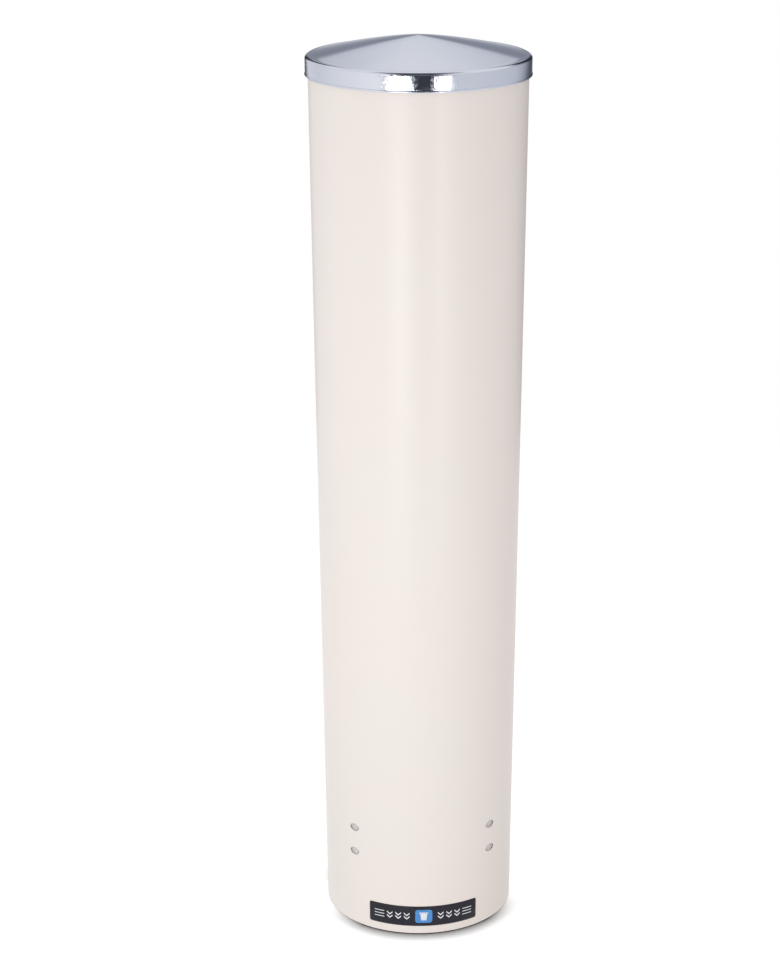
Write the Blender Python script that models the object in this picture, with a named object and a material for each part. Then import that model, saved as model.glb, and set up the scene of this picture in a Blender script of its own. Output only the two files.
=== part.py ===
"""Pull-type cup dispenser: a tapered tube, a lift-off cap and four sprung fingers that hold the lowest cup.

Metres, +Z up. The origin is on the tube's axis, in the plane of its lower rim. The front of the tube faces -Y
and the wall that it hangs on is towards +Y. Angles round the tube are measured from +X, counterclockwise.
"""

import math

import bmesh
import bpy
from mathutils import Matrix, Vector

# Fits and facets that all the pieces share
SEAT_GAP = 0.0003
CUT_OVERRUN = 0.0030
WELD_DISTANCE = 0.000001
TUBE_FACETS = 72
SMALL_FACETS = 20
ARC_FACETS = 4
BEVEL_ROUND_SHARE = 0.5

# Tube: moulded with draft, so it is wider at the top
TUBE_HEIGHT = 0.5970
TUBE_BASE_RADIUS = 0.0648
TUBE_TOP_RADIUS = 0.07145
TUBE_WALL = 0.0025
TUBE_RIM_ROUND = 0.0005

# Cap: a shallow dome with a straight skirt that ends in a fine lip
CAP_WALL = 0.0015
CAP_SIDE_CLEARANCE = 0.0003
CAP_SKIRT_DEPTH = 0.0129
CAP_RISE = 0.0122
CAP_SHOULDER_ROUND = 0.0020
CAP_DOME_POWER = 1.3
CAP_DOME_SHARES = (0.0, 0.10, 0.28, 0.52, 0.78, 1.0)
CAP_LIP_HEIGHT = 0.0015
CAP_LIP_PROUD = 0.0003

# Label plate: set in a shallow recess on the front
LABEL_WIDTH = 0.0778
LABEL_HEIGHT = 0.0147
LABEL_BOTTOM = 0.0060
LABEL_THICKNESS = 0.0005
LABEL_RECESS = 0.0006
LABEL_CORNER = 0.0012
LABEL_BENDS = 18

# Fingers: four stations round the bore, each as far from the front or the back line as the next
FINGER_AZIMUTH = math.radians(45.4)
FINGER_LENGTH = 0.0380
FINGER_WIDTH = 0.0140
FINGER_LEAN = math.radians(28)
FINGER_SWING = math.radians(20)
FINGER_NECK_THICKNESS = 0.0022
FINGER_ROOT_THICKNESS = 0.0030
FINGER_END_THICKNESS = 0.0020
FINGER_NECK_CLEARANCE = 0.0005
FINGER_SHOULDER_LENGTH = 0.0018
FINGER_BEAD_RADIUS = 0.0020
FINGER_TIP_RADIUS = 0.0018

# Finger bases: pads inside the wall, each held by two pegs that run parallel to Y through the wall
BASE_CHEEK = 0.0018
BASE_THICKNESS = 0.0057
BASE_LEDGE = 0.0012
BASE_LEAD_IN = 0.0050
BASE_ABOVE_PEG = 0.0090
BASE_HOUSING_WALL = 0.0020
PEG_HOLE_RADIUS = 0.0028
PEG_LOWER_HEIGHT = 0.0554
PEG_SPACING = 0.0181
PEG_RECESS = 0.0008
PEG_ROOT_DEPTH = 0.0070
PIVOT_BELOW_PEG = 0.0074

# Finger springs: strips of spring steel, their tabs trapped between the pad and the wall
SPRING_THICKNESS = 0.0005
SPRING_WIDTH = 0.0090
SPRING_TAB_LENGTH = 0.0060
SPRING_TAIL_DROP = 0.0010
SPRING_CURL_RADIUS = 0.0020
SPRING_CONTACT = 0.0190
SPRING_ARRIVAL = math.radians(28)
SPRING_CURL_END = math.radians(75)
SPRING_BEND_STEPS = 8
SPRING_CURL_STEPS = 6
SPRING_BEND_SHARE = 0.40

# Wall brackets: cored mouldings with a saddle for the tube and a keyhole for a wall screw
BRACKET_WIDTH = 0.0440
BRACKET_HEIGHT = 0.0600
BRACKET_WALL = 0.0025
BRACKET_CORNER = 0.0040
BRACKET_BELOW_TOP = 0.1170
BRACKET_LOWER_HEIGHT = 0.1400
WALL_CLEARANCE = 0.0045
KEYHOLE_HEAD_RADIUS = 0.0045
KEYHOLE_SLOT_RADIUS = 0.0025
KEYHOLE_LENGTH = 0.0100

# Bracket screws: two a bracket, driven from inside the tube into bosses in the bracket
SCREW_SPACING = 0.0400
SCREW_LENGTH = 0.0080
SCREW_RADIUS = 0.0015
SCREW_POINT = 0.0010
SCREW_HEAD_RADIUS = 0.0029
SCREW_HEAD_HEIGHT = 0.0020
SCREW_HEAD_EDGE = 0.0006
SCREW_CROSS_LENGTH = 0.0034
SCREW_CROSS_WIDTH = 0.0008
SCREW_CROSS_DEPTH = 0.0011
BOSS_RADIUS = 0.0038

# Where the fingers stand: name, angle round the tube, side to which its pegs slant
FINGER_STATIONS = (
    ("front_left", -math.pi / 2 - FINGER_AZIMUTH, 1),
    ("front_right", FINGER_AZIMUTH - math.pi / 2, -1),
    ("rear_right", math.pi / 2 - FINGER_AZIMUTH, 1),
    ("rear_left", math.pi / 2 + FINGER_AZIMUTH, -1),
)


def tube_radius(height):
    """Outer radius of the tube at a height."""
    return TUBE_BASE_RADIUS + (TUBE_TOP_RADIUS - TUBE_BASE_RADIUS) * height / TUBE_HEIGHT


def bore_radius(height):
    """Inner radius of the tube at a height."""
    return tube_radius(height) - TUBE_WALL


def cap_radius():
    """Outer radius of the cap's skirt."""
    return TUBE_TOP_RADIUS + CAP_SIDE_CLEARANCE + CAP_WALL


def wall_plane():
    """Y of the wall that the brackets rest against: clear of the widest thing in front of it."""
    return max(cap_radius(), TUBE_BASE_RADIUS) + WALL_CLEARANCE


def bracket_heights():
    """Heights of the middles of the upper and the lower bracket."""
    return TUBE_HEIGHT - BRACKET_BELOW_TOP, BRACKET_LOWER_HEIGHT


def screw_heights(bracket_height):
    return [bracket_height - SCREW_SPACING / 2, bracket_height + SCREW_SPACING / 2]


def pivot_height():
    return PEG_LOWER_HEIGHT - PIVOT_BELOW_PEG


def pivot_radius():
    """Distance of a finger's pivot from the tube's axis: in the plane of the pad's face."""
    return bore_radius(pivot_height()) - BASE_THICKNESS


def peg_axis_x():
    """X of the peg holes, which are drilled straight through the front and the back wall."""
    return tube_radius(PEG_LOWER_HEIGHT + PEG_SPACING / 2) * math.sin(FINGER_AZIMUTH)


def housing_radius():
    """Outside of the half-round housing that holds a finger's bead."""
    return FINGER_BEAD_RADIUS + SEAT_GAP + BASE_HOUSING_WALL


def spring_plane():
    """Distance of the spring tab's mid plane from the tube's axis. Its edges come nearest to the round wall."""
    lowest = pivot_height() - housing_radius() - SPRING_TAIL_DROP
    wall = math.sqrt(bore_radius(lowest) ** 2 - (SPRING_WIDTH / 2) ** 2)
    return wall - SEAT_GAP - SPRING_THICKNESS / 2


def clear_scene():
    for obj in list(bpy.data.objects):
        bpy.data.objects.remove(obj)


def make_material(name, colour, roughness, metallic=0.0):
    material = bpy.data.materials.new(name)
    material.use_nodes = True
    shader = material.node_tree.nodes["Principled BSDF"]
    shader.inputs["Base Color"].default_value = (*colour, 1.0)
    shader.inputs["Roughness"].default_value = roughness
    shader.inputs["Metallic"].default_value = metallic
    return material


def arc(centre, radius, start, end, steps):
    """Points on an arc in a plane, from one angle to another, both ends included."""
    turn = (end - start) / steps
    return [
        (centre[0] + radius * math.cos(start + turn * i), centre[1] + radius * math.sin(start + turn * i))
        for i in range(steps + 1)
    ]


def object_from(name, bm):
    """A linked object that holds a bmesh, its faces turned outwards."""
    bmesh.ops.recalc_face_normals(bm, faces=bm.faces)
    mesh = bpy.data.meshes.new(name)
    bm.to_mesh(mesh)
    bm.free()
    obj = bpy.data.objects.new(name, mesh)
    bpy.context.scene.collection.objects.link(obj)
    return obj


def lathe(name, outline, facets=TUBE_FACETS, closed=False):
    """A solid turned about Z from an outline of (radius, height). An open outline starts and ends on the axis."""
    bm = bmesh.new()
    verts = [bm.verts.new((radius, 0, height)) for radius, height in outline]
    pairs = list(zip(verts, verts[1:]))
    if closed:
        pairs.append((verts[-1], verts[0]))
    edges = [bm.edges.new(pair) for pair in pairs]
    bmesh.ops.spin(
        bm, geom=verts + edges, cent=(0, 0, 0), axis=(0, 0, 1), angle=2 * math.pi, steps=facets, use_merge=True
    )
    bmesh.ops.remove_doubles(bm, verts=bm.verts, dist=WELD_DISTANCE)
    bmesh.ops.dissolve_degenerate(bm, edges=bm.edges, dist=WELD_DISTANCE)
    return object_from(name, bm)


def slab(name, outline, width):
    """A solid extruded along Y, centred on Y = 0, from an outline of (x, z)."""
    bm = bmesh.new()
    face = bm.faces.new([bm.verts.new((x, -width / 2, z)) for x, z in outline])
    grown = bmesh.ops.extrude_face_region(bm, geom=[face])["geom"]
    moved = [item for item in grown if isinstance(item, bmesh.types.BMVert)]
    bmesh.ops.translate(bm, vec=(0, width, 0), verts=moved)
    return object_from(name, bm)


def block(name, low, high, corner=0):
    """A box between two corners. Its edges along Y can be rounded."""
    bm = bmesh.new()
    bmesh.ops.create_cube(bm, size=1)
    size = Vector(high) - Vector(low)
    bmesh.ops.transform(bm, matrix=Matrix.Diagonal((*size, 1)), verts=bm.verts)
    bmesh.ops.translate(bm, vec=(Vector(high) + Vector(low)) / 2, verts=bm.verts)
    if corner:
        along = [e for e in bm.edges if e.verts[0].co.xz == e.verts[1].co.xz]
        bmesh.ops.bevel(bm, geom=along, offset=corner, segments=ARC_FACETS, profile=BEVEL_ROUND_SHARE, affect="EDGES")
    return object_from(name, bm)


def rod(name, start, end, radius):
    """A cylinder between two points."""
    bm = bmesh.new()
    run = Vector(end) - Vector(start)
    bmesh.ops.create_cone(
        bm, cap_ends=True, segments=SMALL_FACETS, radius1=radius, radius2=radius, depth=run.length
    )
    turn = Vector((0, 0, 1)).rotation_difference(run).to_matrix().to_4x4()
    bmesh.ops.transform(bm, matrix=Matrix.Translation(Vector(start) + run / 2) @ turn, verts=bm.verts)
    return object_from(name, bm)


def tube_core(name, inset, low=-CUT_OVERRUN, high=TUBE_HEIGHT):
    """A solid with the tube's taper, its radius less than the tube's by an inset."""
    outline = [(0, low), (tube_radius(low) - inset, low), (tube_radius(high) - inset, high), (0, high)]
    return lathe(name, outline)


def combine(obj, other, operation):
    """Cuts, joins or intersects a solid with another, which is then removed."""
    modifier = obj.modifiers.new(operation, "BOOLEAN")
    modifier.operation = operation
    modifier.solver = "EXACT"
    modifier.object = other
    graph = bpy.context.evaluated_depsgraph_get()
    mesh = bpy.data.meshes.new_from_object(obj.evaluated_get(graph))
    obj.modifiers.remove(modifier)
    old = obj.data
    obj.data = mesh
    bpy.data.meshes.remove(old)
    bpy.data.objects.remove(other)


def finish(obj, name, material, smooth_angle=math.radians(35)):
    obj.name = name
    obj.data.name = name
    obj.data.materials.clear()
    obj.data.materials.append(material)
    obj.data.shade_smooth()
    obj.data.set_sharp_from_angle(angle=smooth_angle)
    return obj


def wrapped_plate(name, width, height, low, inner, outer, corner):
    """A plate with round corners, bent to the front of the tube. Inner and outer are depths from its surface."""
    half = width / 2
    outline = []
    for x, z, start in (
        (half - corner, low + corner, -math.pi / 2),
        (half - corner, low + height - corner, 0),
        (corner - half, low + height - corner, math.pi / 2),
        (corner - half, low + corner, math.pi),
    ):
        outline += arc((x, z), corner, start, start + math.pi / 2, ARC_FACETS)
    # The plate is drawn flat and one unit thick. Which face a point is on then sets its depth
    plate = slab(name, outline, 1)
    bm = bmesh.new()
    bm.from_mesh(plate.data)
    for i in range(1, LABEL_BENDS):
        at = (width * i / LABEL_BENDS - half, 0, 0)
        geom = bm.verts[:] + bm.edges[:] + bm.faces[:]
        bmesh.ops.bisect_plane(bm, geom=geom, plane_co=at, plane_no=(1, 0, 0), dist=WELD_DISTANCE)
    for vert in bm.verts:
        angle = vert.co.x / TUBE_BASE_RADIUS
        radius = tube_radius(vert.co.z) + (outer if vert.co.y < 0 else inner)
        vert.co = (radius * math.sin(angle), -radius * math.cos(angle), vert.co.z)
    bmesh.ops.recalc_face_normals(bm, faces=bm.faces)
    bm.to_mesh(plate.data)
    bm.free()
    return plate


def make_tube(material):
    base = (TUBE_BASE_RADIUS - TUBE_RIM_ROUND, TUBE_RIM_ROUND)
    top = (TUBE_TOP_RADIUS - TUBE_RIM_ROUND, TUBE_HEIGHT - TUBE_RIM_ROUND)
    outline = arc(base, TUBE_RIM_ROUND, -math.pi / 2, 0, ARC_FACETS)
    outline += arc(top, TUBE_RIM_ROUND, 0, math.pi / 2, ARC_FACETS)
    outline += [(TUBE_TOP_RADIUS - TUBE_WALL, TUBE_HEIGHT), (TUBE_BASE_RADIUS - TUBE_WALL, 0)]
    tube = lathe("tube", outline, closed=True)
    for side in (-1, 1):
        for height in (PEG_LOWER_HEIGHT, PEG_LOWER_HEIGHT + PEG_SPACING):
            x = side * peg_axis_x()
            ends = [(x, way * (TUBE_TOP_RADIUS + CUT_OVERRUN), height) for way in (-1, 1)]
            combine(tube, rod("peg_hole", *ends, PEG_HOLE_RADIUS), "DIFFERENCE")
    for bracket_height in bracket_heights():
        for height in screw_heights(bracket_height):
            ends = ((0, bore_radius(height) - CUT_OVERRUN, height), (0, wall_plane(), height))
            combine(tube, rod("screw_hole", *ends, SCREW_RADIUS + SEAT_GAP), "DIFFERENCE")
    recess = wrapped_plate(
        "recess",
        LABEL_WIDTH + 2 * SEAT_GAP,
        LABEL_HEIGHT + 2 * SEAT_GAP,
        LABEL_BOTTOM - SEAT_GAP,
        -LABEL_RECESS,
        CUT_OVERRUN,
        LABEL_CORNER + SEAT_GAP,
    )
    combine(tube, recess, "DIFFERENCE")
    return finish(tube, "dispenser_tube", material)


def make_label(material):
    inner = SEAT_GAP - LABEL_RECESS
    outer = inner + LABEL_THICKNESS
    label = wrapped_plate("label", LABEL_WIDTH, LABEL_HEIGHT, LABEL_BOTTOM, inner, outer, LABEL_CORNER)
    return finish(label, "label_plate", material)


def make_cap(material):
    """The cap stands on the tube's upper rim. Its mesh is drawn about the rim's centre, where it lifts off."""
    radius = cap_radius()
    shoulder = SEAT_GAP + CAP_WALL
    dome_radius = radius - CAP_SHOULDER_ROUND
    skirt_low = shoulder - CAP_SKIRT_DEPTH

    def dome(share):
        return dome_radius * share, shoulder + CAP_RISE * (1 - share**CAP_DOME_POWER)

    outline = [dome(share) for share in CAP_DOME_SHARES]
    centre = (dome_radius, shoulder - CAP_SHOULDER_ROUND)
    outline += arc(centre, CAP_SHOULDER_ROUND, math.pi / 2, 0, ARC_FACETS)[1:]
    lip_round = CAP_LIP_HEIGHT / 2
    lip_centre = (radius + CAP_LIP_PROUD - lip_round, skirt_low + lip_round)
    outline.append((radius, skirt_low + CAP_LIP_HEIGHT))
    outline += arc(lip_centre, lip_round, 0, -math.pi / 2, ARC_FACETS)
    outline.append((radius - CAP_WALL, skirt_low))
    outline.append((radius - CAP_WALL, shoulder - CAP_WALL))
    for share in reversed(CAP_DOME_SHARES):
        outline.append((dome(share)[0], dome(share)[1] - CAP_WALL))
    cap = lathe("cap", outline)
    cap.location.z = TUBE_HEIGHT
    return finish(cap, "lift_off_cap", material)


def along_finger(lean):
    """Unit vectors (x, z) along a finger from its pivot, and square to it towards the wall."""
    return Vector((-math.sin(lean), -math.cos(lean))), Vector((math.cos(lean), -math.sin(lean)))


def make_finger(name, angle, material):
    """A finger about its own pivot, where its bead turns. It leans inwards and down at rest."""
    down, out = along_finger(FINGER_LEAN)
    neck = FINGER_NECK_THICKNESS / 2
    root = FINGER_ROOT_THICKNESS / 2
    end = FINGER_END_THICKNESS / 2
    bead_turn = math.asin(neck / FINGER_BEAD_RADIUS)
    tip_turn = math.pi - math.asin(end / FINGER_TIP_RADIUS)
    neck_end = housing_radius() + FINGER_NECK_CLEARANCE
    shoulder = neck_end + FINGER_SHOULDER_LENGTH
    outline = arc((0, 0), FINGER_BEAD_RADIUS, bead_turn, 2 * math.pi - bead_turn, 4 * ARC_FACETS)
    outline += [(neck_end, -neck), (shoulder, -root)]
    tip = (FINGER_LENGTH - FINGER_TIP_RADIUS, 0)
    outline += arc(tip, FINGER_TIP_RADIUS, -tip_turn, tip_turn, 3 * ARC_FACETS)
    outline += [(shoulder, root), (neck_end, neck)]
    points = [down * u + out * v for u, v in outline]
    finger = slab("finger", points, FINGER_WIDTH)
    reach = pivot_radius()
    finger.location = (reach * math.cos(angle), reach * math.sin(angle), pivot_height())
    finger.rotation_euler.z = angle
    return finish(finger, name, material)


def make_base(name, angle, slant, material):
    """A pad that follows the bore, with a housing for the finger's bead, a rebate for the spring and two pegs."""
    face = pivot_radius()
    pivot = pivot_height()
    housing = housing_radius()
    low = pivot - housing
    high = PEG_LOWER_HEIGHT + PEG_SPACING + BASE_ABOVE_PEG
    wall = bore_radius(high) + CUT_OVERRUN
    outline = [(wall, low), (wall, high), (bore_radius(high) - BASE_LEDGE, high), (face, high - BASE_LEAD_IN)]
    outline += arc((face, pivot), housing, math.pi / 2, 1.5 * math.pi, 3 * ARC_FACETS)
    base = slab("base", outline, FINGER_WIDTH + 2 * (SEAT_GAP + BASE_CHEEK))
    combine(base, tube_core("bore", TUBE_WALL + SEAT_GAP), "INTERSECT")

    # The rebate for the spring's tab is open to the wall and at the bottom
    rebate_floor = spring_plane() - SPRING_THICKNESS / 2 - SEAT_GAP
    half = SPRING_WIDTH / 2 + SEAT_GAP
    rebate_top = low + SPRING_TAB_LENGTH + SEAT_GAP
    combine(base, block("rebate", (rebate_floor, -half, low - CUT_OVERRUN), (wall, half, rebate_top)), "DIFFERENCE")

    # The groove for the bead and the mouth through which the neck swings, drawn as one outline
    groove = FINGER_BEAD_RADIUS + SEAT_GAP
    gape = FINGER_NECK_THICKNESS / 2 + SEAT_GAP
    side = math.asin(gape / groove)
    rest, _ = along_finger(FINGER_LEAN)
    limit, _ = along_finger(FINGER_LEAN - FINGER_SWING)
    rest_angle = math.atan2(rest.y, rest.x)
    limit_angle = rest_angle + FINGER_SWING
    centre = (face, pivot)
    mouth = arc(centre, groove, limit_angle + side, rest_angle - side + 2 * math.pi, 4 * ARC_FACETS)
    reach = housing + CUT_OVERRUN
    mouth.append(tuple(Vector(mouth[-1]) + rest * reach))
    mouth.append(tuple(Vector(mouth[0]) + limit * reach))
    combine(base, slab("mouth", mouth, FINGER_WIDTH + 2 * SEAT_GAP), "DIFFERENCE")

    # The pegs slant, because their holes run parallel to Y and not to the radius
    slope = Vector((math.cos(FINGER_AZIMUTH), slant * math.sin(FINGER_AZIMUTH), 0))
    for height in (PEG_LOWER_HEIGHT, PEG_LOWER_HEIGHT + PEG_SPACING):
        mouth_point = Vector((tube_radius(PEG_LOWER_HEIGHT + PEG_SPACING / 2), 0, height))
        start = mouth_point - slope * PEG_ROOT_DEPTH
        end = mouth_point + slope * (PEG_HOLE_RADIUS + CUT_OVERRUN)
        peg = rod("peg", start, end, PEG_HOLE_RADIUS - SEAT_GAP)
        combine(peg, tube_core("skin", PEG_RECESS), "INTERSECT")
        combine(base, peg, "UNION")
    base.rotation_euler.z = angle
    return finish(base, name, material)


def make_spring(name, angle, material):
    """A strip from its tab, down past the pad and inwards to the finger's back, where it ends in a curl."""
    plane = spring_plane()
    low = pivot_height() - housing_radius()
    tail = Vector((plane, low - SPRING_TAIL_DROP))
    down, out = along_finger(FINGER_LEAN)
    back = FINGER_ROOT_THICKNESS / 2 + SEAT_GAP + SPRING_THICKNESS / 2
    curl = Vector((pivot_radius(), pivot_height())) + down * SPRING_CONTACT
    curl += out * (back + SPRING_CURL_RADIUS)
    inward = math.atan2(-out.y, -out.x)
    turn = arc(curl, SPRING_CURL_RADIUS, inward - SPRING_ARRIVAL, inward + SPRING_CURL_END, SPRING_CURL_STEPS)
    arrival = Vector(turn[0])
    heading = inward - SPRING_ARRIVAL + math.pi / 2
    pull = (arrival - tail).length * SPRING_BEND_SHARE
    leave = tail + Vector((0, -1)) * pull
    arrive = arrival - Vector((math.cos(heading), math.sin(heading))) * pull
    line = [Vector((plane, low + SPRING_TAB_LENGTH)), tail]
    for i in range(1, SPRING_BEND_STEPS):
        t = i / SPRING_BEND_STEPS
        s = 1 - t
        line.append(tail * s**3 + leave * 3 * s**2 * t + arrive * 3 * s * t**2 + arrival * t**3)
    line += [Vector(point) for point in turn]
    sides = ([], [])
    for i, point in enumerate(line):
        run = (line[min(i + 1, len(line) - 1)] - line[max(i - 1, 0)]).normalized()
        square = Vector((-run.y, run.x)) * SPRING_THICKNESS / 2
        sides[0].append(point + square)
        sides[1].append(point - square)
    spring = slab("spring", sides[0] + sides[1][::-1], SPRING_WIDTH)
    spring.rotation_euler.z = angle
    return finish(spring, name, material)


def screw_seat(height):
    """Y of the underside of a screw's head. The head is flat, so its edge meets the round bore first."""
    lowest = bore_radius(height - SCREW_HEAD_RADIUS)
    return math.sqrt(lowest**2 - SCREW_HEAD_RADIUS**2) - SEAT_GAP


def make_bracket(name, height, material):
    """A moulding between tube and wall, hollow towards the tube, with two bosses and a keyhole in its back plate."""
    half = BRACKET_WIDTH / 2
    low = height - BRACKET_HEIGHT / 2
    high = height + BRACKET_HEIGHT / 2
    front = math.sqrt(tube_radius(low) ** 2 - half**2) - CUT_OVERRUN
    plate = wall_plane() - BRACKET_WALL
    bracket = block("bracket", (-half, front, low), (half, wall_plane(), high), BRACKET_CORNER)
    inner_low = (BRACKET_WALL - half, front - CUT_OVERRUN, low + BRACKET_WALL)
    inner_high = (half - BRACKET_WALL, plate, high - BRACKET_WALL)
    core = block("core", inner_low, inner_high, max(BRACKET_CORNER - BRACKET_WALL, 0))
    for at in screw_heights(height):
        boss_start = (0, inner_low[1] - CUT_OVERRUN, at)
        combine(core, rod("boss", boss_start, (0, wall_plane(), at), BOSS_RADIUS), "DIFFERENCE")
    combine(bracket, core, "DIFFERENCE")
    combine(bracket, tube_core("saddle", -SEAT_GAP), "DIFFERENCE")
    for at in screw_heights(height):
        pilot_end = screw_seat(at) + SCREW_LENGTH + SEAT_GAP
        pilot = rod("pilot", (0, front - CUT_OVERRUN, at), (0, pilot_end, at), SCREW_RADIUS + SEAT_GAP)
        combine(bracket, pilot, "DIFFERENCE")

    # The keyhole: a round way in for the screw's head below, and a slot above it
    side = math.asin(KEYHOLE_SLOT_RADIUS / KEYHOLE_HEAD_RADIUS)
    way_in = (0, height - KEYHOLE_LENGTH / 2)
    slot_end = (0, height + KEYHOLE_LENGTH / 2)
    outline = arc(way_in, KEYHOLE_HEAD_RADIUS, math.pi / 2 + side, 2.5 * math.pi - side, 4 * ARC_FACETS)
    outline += arc(slot_end, KEYHOLE_SLOT_RADIUS, 0, math.pi, 2 * ARC_FACETS)
    keyhole = slab("keyhole", outline, 2 * (BRACKET_WALL + CUT_OVERRUN))
    keyhole.location.y = wall_plane()
    combine(bracket, keyhole, "DIFFERENCE")
    return finish(bracket, name, material)


def make_screw(name, height, material):
    """A pan-head screw, its axis along +Y and its head inside the tube, drawn about the head's underside."""
    outline = [(0, -SCREW_HEAD_HEIGHT)]
    dome = SCREW_HEAD_HEIGHT - SCREW_HEAD_EDGE
    for i in range(1, ARC_FACETS + 1):
        turn = math.pi / 2 * i / ARC_FACETS
        outline.append((SCREW_HEAD_RADIUS * math.sin(turn), -SCREW_HEAD_EDGE - dome * math.cos(turn)))
    outline += [(SCREW_HEAD_RADIUS, 0), (SCREW_RADIUS, 0), (SCREW_RADIUS, SCREW_LENGTH - SCREW_POINT)]
    outline.append((0, SCREW_LENGTH))
    screw = lathe("screw", outline, SMALL_FACETS)
    for long_x in (True, False):
        x = (SCREW_CROSS_LENGTH if long_x else SCREW_CROSS_WIDTH) / 2
        y = (SCREW_CROSS_WIDTH if long_x else SCREW_CROSS_LENGTH) / 2
        floor = SCREW_CROSS_DEPTH - SCREW_HEAD_HEIGHT
        combine(screw, block("cross", (-x, -y, -SCREW_HEAD_HEIGHT - CUT_OVERRUN), (x, y, floor)), "DIFFERENCE")
    screw.location = (0, screw_seat(height), height)
    screw.rotation_euler.x = -math.pi / 2
    return finish(screw, name, material)


def main():
    clear_scene()
    sand = make_material("sand_plastic", (0.78, 0.72, 0.68), 0.45)
    chrome = make_material("chrome", (0.62, 0.64, 0.72), 0.06, 1.0)
    dark = make_material("label_film", (0.014, 0.014, 0.022), 0.40)
    natural = make_material("natural_acetal", (0.57, 0.54, 0.52), 0.45)
    spring_steel = make_material("spring_steel", (0.55, 0.56, 0.58), 0.25, 1.0)
    zinc = make_material("zinc_screw", (0.62, 0.63, 0.64), 0.30, 1.0)
    make_tube(sand)
    make_label(dark)
    make_cap(chrome)
    for station, angle, slant in FINGER_STATIONS:
        make_base("finger_base_" + station, angle, slant, natural)
        make_finger("cup_finger_" + station, angle, natural)
        make_spring("finger_spring_" + station, angle, spring_steel)
    for place, height in zip(("upper", "lower"), bracket_heights()):
        make_bracket("wall_bracket_" + place, height, sand)
        for end, at in zip(("bottom", "top"), screw_heights(height)):
            make_screw("bracket_screw_" + place + "_" + end, at, zinc)


main()
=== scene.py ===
import bpy
from math import asin, atan2, cos, pi, radians, sin, sqrt
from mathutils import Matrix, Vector


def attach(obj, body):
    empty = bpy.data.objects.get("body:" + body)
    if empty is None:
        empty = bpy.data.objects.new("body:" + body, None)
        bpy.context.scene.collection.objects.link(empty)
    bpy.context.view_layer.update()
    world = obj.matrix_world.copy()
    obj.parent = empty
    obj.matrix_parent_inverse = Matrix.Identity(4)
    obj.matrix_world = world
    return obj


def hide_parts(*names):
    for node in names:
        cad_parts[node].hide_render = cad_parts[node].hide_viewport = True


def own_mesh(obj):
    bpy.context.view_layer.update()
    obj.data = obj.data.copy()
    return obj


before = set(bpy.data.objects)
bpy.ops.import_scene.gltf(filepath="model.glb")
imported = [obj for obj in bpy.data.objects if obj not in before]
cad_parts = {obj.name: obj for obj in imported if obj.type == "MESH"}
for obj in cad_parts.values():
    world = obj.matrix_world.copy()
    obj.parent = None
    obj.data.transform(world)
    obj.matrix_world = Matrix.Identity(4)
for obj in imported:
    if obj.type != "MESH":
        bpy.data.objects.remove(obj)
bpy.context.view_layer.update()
print("frame loaded with", len(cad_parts), "nodes")

# The tube's own sizes, which most pieces follow
tube = {
    "height": 0.597,
    "baseRadius": 0.0648,
    "topRadius": 0.07145,
    "wall": 0.0025,
    "gap": 0.0003,
    "steps": 256,
    "overrun": 0.003,
}
gap, overrun = tube["gap"], tube["overrun"]  # between pieces, and of tools past what they cut


def outerRadius(z):
    return tube["baseRadius"] + (tube["topRadius"] - tube["baseRadius"]) * z / tube["height"]


def boreRadius(z):
    return outerRadius(z) - tube["wall"]


def leaveEdit():
    bpy.ops.object.mode_set(mode="OBJECT")


def deselect():
    if bpy.context.mode != "OBJECT":
        leaveEdit()
    bpy.ops.object.select_all(action="DESELECT")


def pick(obj):
    deselect()
    obj.select_set(True)
    bpy.context.view_layer.objects.active = obj


def editAll(obj):  # into edit mode, with everything selected
    pick(obj)
    bpy.ops.object.mode_set(mode="EDIT")
    bpy.ops.mesh.select_all(action="SELECT")


def settle(obj):  # place and turn go into the mesh
    pick(obj)
    bpy.ops.object.transform_apply(location=True, rotation=True, scale=True)


def joinTo(obj, others):
    pick(obj)
    for other in others:
        other.select_set(True)
    bpy.ops.object.join()


def arc(centre, radius, start, end, steps):
    turn = (end - start) / steps
    return [
        (centre[0] + radius * cos(start + turn * i), centre[1] + radius * sin(start + turn * i))
        for i in range(steps + 1)
    ]


def boxOutline(left, right, low, high):
    return [(left, low), (right, low), (right, high), (left, high)]


def roundedOutline(left, right, low, high, corner, steps):
    outline = []
    for x, z, start in (
        (right - corner, low + corner, -pi / 2),
        (right - corner, high - corner, 0),
        (left + corner, high - corner, pi / 2),
        (left + corner, low + corner, pi),
    ):
        outline += arc((x, z), corner, start, start + pi / 2, steps)
    return outline


def extrudeBy(step):
    bpy.ops.mesh.extrude_region_move(TRANSFORM_OT_translate={"value": step})


def traceLine(name, points):  # drawn point after point, and left in edit mode
    deselect()
    bpy.ops.mesh.primitive_plane_add(size=0.001, location=points[0])
    obj = bpy.context.object
    obj.name = name
    obj.data.name = name
    editAll(obj)
    bpy.ops.mesh.merge(type="CENTER")
    for a, b in zip(points, points[1:]):
        extrudeBy(Vector(b) - Vector(a))
    bpy.ops.mesh.select_all(action="SELECT")
    return obj


def faceOut(obj):
    weld = 0.000002  # points closer than this become one
    editAll(obj)
    bpy.ops.mesh.remove_doubles(threshold=weld)
    bpy.ops.mesh.normals_make_consistent(inside=False)
    leaveEdit()


def turnOutline(name, outline, steps, ring=False):  # outline is (radius, height)
    obj = traceLine(name, [(r, 0, z) for r, z in outline])
    if ring:
        bpy.ops.mesh.edge_face_add()
        bpy.ops.mesh.delete(type="ONLY_FACE")
        bpy.ops.mesh.select_all(action="SELECT")
    bpy.ops.mesh.spin(steps=steps, angle=2 * pi, center=(0, 0, 0), axis=(0, 0, 1))
    faceOut(obj)
    settle(obj)
    return obj


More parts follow.
